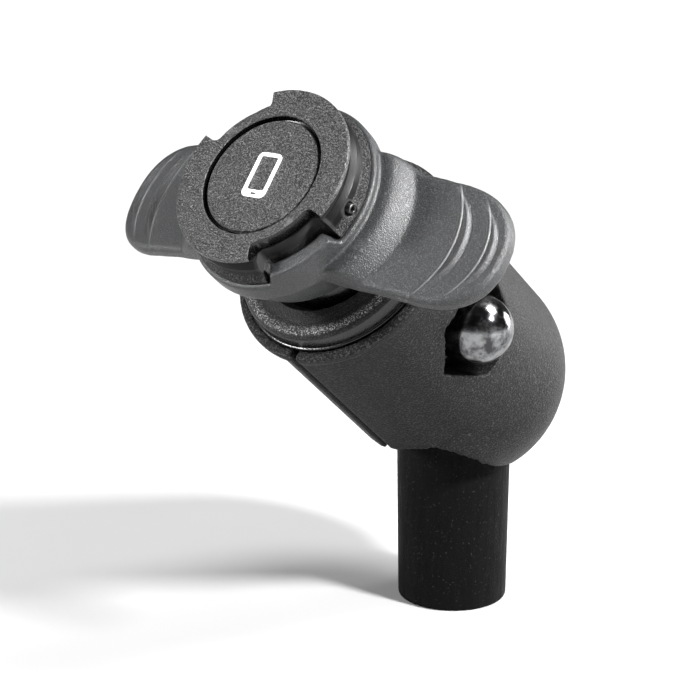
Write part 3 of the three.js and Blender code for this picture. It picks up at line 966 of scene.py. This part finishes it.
def eased_step(value):
    value = np.clip(value, 0, 1)
    return value * value * (3 - 2 * value)


def wing_top(x, y):
    """Height of a wing's upper face over the ball's centre, x counted outwards."""
    flat = CREASE["depth"] + CREASE["slope"] * (x - CREASE["radius"])
    depth = np.minimum(flat, shoulder_depth(np.hypot(x, y)))
    return FACE - depth


def wing_bottom(x, y):
    """Height of a wing's lower face: a skirt at the ring, then as thick as the flat."""
    radius = np.hypot(x, y)
    inner = np.interp(radius, (0, 17, SKIRT["radius"]), (14, 14, SKIRT["depth"]))
    flat = CREASE["depth"] + CREASE["slope"] * (x - CREASE["radius"])
    outer = np.maximum(flat + CREASE["thickness"], SKIRT["depth"])
    return FACE - np.where(radius < SKIRT["radius"], inner, outer)


def wing_half_width(x):
    """Half the wing's width: straight sides, then a full, squarish round tip."""
    straight, reach = WING["straight"], WING["reach"]
    along = np.clip((x - straight) / (reach - straight), 0, 1)
    return WING["half"] * (1 - along ** WING["power"]) ** (1 / WING["power"])


def wing_flare(x):
    """What the wing's upper side gains where it meets the ring."""
    return FLARE["widening"] * eased_step((FLARE["end"] - x) / (FLARE["end"] - FLARE["full"]))


def distance_to_edge(x, y):
    """Distance of points inside a wing to its outline."""
    turn = np.linspace(0, math.pi / 2, 90)
    straight, reach = WING["straight"], WING["reach"]
    sides = np.linspace(WING["root"], straight, 60)
    tip = straight + (reach - straight) * np.sin(turn) ** (2 / WING["power"])
    edge_x = np.concatenate([sides, tip])
    half = wing_half_width(edge_x)
    nearest = np.full(x.shape, 99.0)
    for edge, low, flare in zip(edge_x, half, wing_flare(edge_x)):
        upper = np.hypot(x - edge, y - WING["offset"] - low - flare)
        lower = np.hypot(x - edge, y - WING["offset"] + low)
        nearest = np.minimum(nearest, np.minimum(upper, lower))
    return nearest


def rounding(distance, radius):
    """How far a rounded edge has dropped at a distance from the outline."""
    inside = np.clip(radius - distance, 0, radius)
    return radius - np.sqrt(radius ** 2 - inside ** 2)


def wing(side):
    """One wing as a closed sheet: upper face, lower face and the edge between them."""
    rows, columns = 150, 90
    ease = np.sin(np.linspace(0, math.pi / 2, rows))
    along = WING["root"] + (WING["reach"] - 0.02 - WING["root"]) * ease
    across = np.sin(np.linspace(-math.pi / 2, math.pi / 2, columns))
    x = np.repeat(along[:, None], columns, 1)
    y = WING["offset"] + wing_half_width(x) * across[None, :]
    y += wing_flare(x) * (across[None, :] + 1) / 2
    edge = distance_to_edge(x, y)
    top = wing_top(x, y) - rounding(edge, 1.1)
    bottom = wing_bottom(x, y) + rounding(edge, 0.8)
    points = np.concatenate([
        np.stack([side * x, y, top], 2).reshape(-1, 3),
        np.stack([side * x, y, bottom], 2).reshape(-1, 3),
    ])
    layer = rows * columns
    faces = []
    for i in range(rows - 1):
        for j in range(columns - 1):
            a, b = i * columns + j, (i + 1) * columns + j
            faces.append([a, b, b + 1, a + 1])
            faces.append([layer + a, layer + a + 1, layer + b + 1, layer + b])
    rim = list(range(columns))
    rim += [i * columns + columns - 1 for i in range(1, rows)]
    rim += [(rows - 1) * columns + j for j in range(columns - 2, -1, -1)]
    rim += [i * columns for i in range(rows - 2, 0, -1)]
    for i, a in enumerate(rim):
        b = rim[(i + 1) % len(rim)]
        faces.append([a, b, layer + b, layer + a])
    return outward(to_mesh("wing", points, faces))


def emboss_steps(mesh):
    """Raises the grip steps on the upper faces of the wings."""
    count = len(mesh.vertices)
    points = np.empty(count * 3)
    normals = np.empty(count * 3)
    mesh.vertices.foreach_get("co", points)
    mesh.vertices.foreach_get("normal", normals)
    points = points.reshape(-1, 3)
    outward_x = np.abs(points[:, 0])
    on_top = (normals.reshape(-1, 3)[:, 2] > 0.5) & (outward_x > CREASE["radius"])
    points[:, 2] += np.where(on_top, grip_steps(outward_x, points[:, 1]), 0)
    mesh.vertices.foreach_set("co", points.ravel())
    mesh.update()


def make_lever():
    ring = turned(at_depth([
        (17.9, 7.4, 0.3),
        (19.1, 7.4, 0.35),
        (19.35, 8.0, 0.4),
        (19.35, 11.2, 3.0),
        (15.5, 19.6, 0.4),
        (13.3, 19.1, 0.3),
        (13.3, 18),
        (16, 12.2),
        (9.4, 12.2),
        (9.4, 10.6),
        (17.9, 10.6),
    ]))
    hollow = turned(at_depth([
        (0, 30),
        (13.3, 30),
        (13.3, 18),
        (16, 12.2),
        (9.4, 12.2),
        (9.4, 10.6),
        (17.9, 10.6),
        (17.9, 0),
        (0, 0),
    ]))
    wings = cut(joined(wing(1), wing(-1)), hollow)
    lever = joined(ring, wings)
    for angle in NOTCH["at"]:
        foot = sector(LUG["inner"], LUG["outer"], angle, LUG["half_foot"])
        tip = sector(LUG["inner"], LUG["outer"], angle, LUG["half_top"])
        lug = prism(foot, FACE - 8, FACE - LUG["top"], tip)
        root = prism(foot, FACE - 11, FACE - 7.99)
        lever = joined(lever, lug, root)
    lever = moulded(lever, LEVER_VOXEL, LEVER_PASSES)
    emboss_steps(lever)
    finished("winged_lever", lever, HEAD, LEVER_GREY, "lever", "lever_grey", "lever_ring",
             smooth=70)


def repaint_hidden():
    """CAD pieces that stay as they are, inside the assembly, with their finishes."""
    for name in ("spring_seat", "centre_screw", "centre_screw_washer", "locating_pin_upper",
                 "locating_pin_lower", "disc_screw_1", "disc_screw_2", "disc_screw_3"):
        node = frame["nodes"][name]
        node.data.materials.clear()
        node.data.materials.append(ZINC)


# ---- Repeats, as geometry nodes ------------------------------------------------------


def make_spring():
    """Return spring: a wire wound on a spiral curve."""
    tree = bpy.data.node_groups.new("coil_spring", "GeometryNodeTree")
    sizes = {
        "Coil Radius": SPRING["coil"] * MM,
        "Wire Radius": SPRING["wire"] * MM,
        "Length": SPRING["length"] * MM,
        "Turns": SPRING["turns"],
    }
    for name in sizes:
        tree.interface.new_socket(name, in_out="INPUT", socket_type="NodeSocketFloat")
    tree.interface.new_socket("Wire Material", in_out="INPUT", socket_type="NodeSocketMaterial")
    tree.interface.new_socket("Geometry", in_out="OUTPUT", socket_type="NodeSocketGeometry")

    def node(kind, inputs):
        made = tree.nodes.new(kind)
        for key, value in inputs.items():
            if isinstance(value, bpy.types.NodeSocket):
                tree.links.new(value, made.inputs[key])
            else:
                made.inputs[key].default_value = value
        return made

    sizes_in = node("NodeGroupInput", {}).outputs
    path = node("GeometryNodeCurveSpiral", {
        "Resolution": 48,
        "Rotations": sizes_in["Turns"],
        "Start Radius": sizes_in["Coil Radius"],
        "End Radius": sizes_in["Coil Radius"],
        "Height": sizes_in["Length"],
    })
    section = node("GeometryNodeCurvePrimitiveCircle", {
        "Resolution": 16,
        "Radius": sizes_in["Wire Radius"],
    })
    wire = node("GeometryNodeCurveToMesh", {
        "Curve": path.outputs[0],
        "Profile Curve": section.outputs[0],
        "Fill Caps": True,
    })
    real = node("GeometryNodeRealizeInstances", {"Geometry": wire.outputs[0]})
    painted = node("GeometryNodeSetMaterial", {
        "Geometry": real.outputs[0],
        "Material": sizes_in["Wire Material"],
    })
    node("NodeGroupOutput", {"Geometry": painted.outputs[0]})

    blank = bpy.data.objects.new("spring_blank", bpy.data.meshes.new("spring_blank"))
    bpy.context.scene.collection.objects.link(blank)
    modifier = blank.modifiers.new("coil", "NODES")
    modifier.node_group = tree
    sizes["Wire Material"] = ZINC
    for item in tree.interface.items_tree:
        if item.in_out == "INPUT":
            modifier[item.identifier] = sizes[item.name]
    bpy.context.view_layer.update()
    graph = bpy.context.evaluated_depsgraph_get()
    mesh = bpy.data.meshes.new_from_object(blank.evaluated_get(graph))
    bpy.data.objects.remove(blank)
    moved(mesh, Matrix.Scale(1 / MM, 4))
    seat_height = FACE - SPRING["seat"]
    moved(mesh, Matrix.Translation((0, 0, seat_height + SPRING["wire"])))
    piece = finished("coil_spring", mesh, HEAD, ZINC, "head", "zinc_steel", "lever_return_spring")
    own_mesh(piece)


# ---- Floor, light and camera ---------------------------------------------------------


FLOOR_HALF = 30.0                # metres
WORLD_AS_LIGHT = 0.14
LAMPS = (                        # name, kind, place in metres, power, sun's angle or disc's width
    ("key", "SUN", (0.40, 0.30, 0.90), 4.4, math.radians(22)),
    ("slope", "AREA", (0.66, 0.0, 0.60), 26.0, 0.14),
    ("front_left", "AREA", (-0.60, -0.70, 0.44), 13.0, 0.22),
    ("rim", "AREA", (0.35, 0.75, 0.22), 6.0, 0.4),
)
CAMERA = {"azimuth": 39.12, "elevation": 15.37, "distance": 0.4857, "lens": 123.4}
AIM = {"across": -0.02187, "height": 0.04892}


def make_floor():
    """Plain paper, painted deeper in tone close to the post: painted shade under the object, which also
    dims the light it bounces up.
    """
    paper = Shader("pale_paper", 0.9)
    reach = paper.node("ShaderNodeVectorMath", {"operation": "LENGTH"}, {0: paper.place})
    far = paper.between(Wire(paper, reach.outputs["Value"]), 0.25, 1.3)
    tone = paper.noise(60.0, 2.0) * 0.05
    # painted shade: darkest at the post, full tone from 1.3 m away; the noise is the paper's own tone
    paper.colour(paper.blend(far + tone, grey(0.32), grey(0.85)))
    half = FLOOR_HALF
    corners = [(-half, -half, 0), (half, -half, 0), (half, half, 0), (-half, half, 0)]
    mesh = to_mesh("floor", corners, [[0, 1, 2, 3]])
    mesh.materials.append(paper.material)
    floor = bpy.data.objects.new("floor", mesh)
    bpy.context.scene.collection.objects.link(floor)


def make_lamps():
    target = Vector((0, -0.03, 0.06))
    for name, kind, spot, power, size in LAMPS:
        lamp = bpy.data.lights.new(name, kind)
        lamp.energy = power
        if kind == "SUN":
            lamp.angle = size
        else:
            lamp.shape = "DISK"
            lamp.size = size
        thing = bpy.data.objects.new(name, lamp)
        thing.location = spot
        thing.rotation_euler = (target - Vector(spot)).to_track_quat("-Z", "Y").to_euler()
        bpy.context.scene.collection.objects.link(thing)


def make_world():
    """White to the eye, and dimmer as a light, so that dark pieces keep their depth."""
    world = bpy.data.worlds.new("studio")
    world.use_nodes = True
    tree = world.node_tree
    seen = tree.nodes.new("ShaderNodeLightPath")
    strength = tree.nodes.new("ShaderNodeMapRange")
    strength.inputs["To Min"].default_value = WORLD_AS_LIGHT
    strength.inputs["To Max"].default_value = 1.0
    background = tree.nodes["Background"]
    background.inputs["Color"].default_value = (1, 1, 1, 1)
    tree.links.new(seen.outputs["Is Camera Ray"], strength.inputs["Value"])
    tree.links.new(strength.outputs[0], background.inputs["Strength"])
    bpy.context.scene.world = world
    bpy.context.scene.view_settings.view_transform = "Standard"


def make_camera():
    azimuth = math.radians(CAMERA["azimuth"])
    elevation = math.radians(CAMERA["elevation"])
    away = Vector((
        math.sin(azimuth) * math.cos(elevation),
        -math.cos(azimuth) * math.cos(elevation),
        math.sin(elevation),
    ))
    across = Vector((math.cos(azimuth), math.sin(azimuth), 0))
    target = across * AIM["across"] + Vector((0, 0, AIM["height"]))
    data = bpy.data.cameras.new("camera")
    data.sensor_width = 36
    data.lens = CAMERA["lens"]
    data.shift_x = 0.005
    data.shift_y = 0.022
    data.clip_start = 0.01
    camera = bpy.data.objects.new("camera", data)
    camera.location = target + away * CAMERA["distance"]
    camera.rotation_euler = (-away).to_track_quat("-Z", "Y").to_euler()
    bpy.context.scene.collection.objects.link(camera)
    bpy.context.scene.camera = camera


make_camera()
make_floor()
make_world()
make_lamps()
make_post()
make_post_plug()
make_liners()
make_shells()
make_collar()
make_clamp()
make_bayonet()
make_cap()
make_ball_stud()
make_lever()
make_spring()
repaint_hidden()
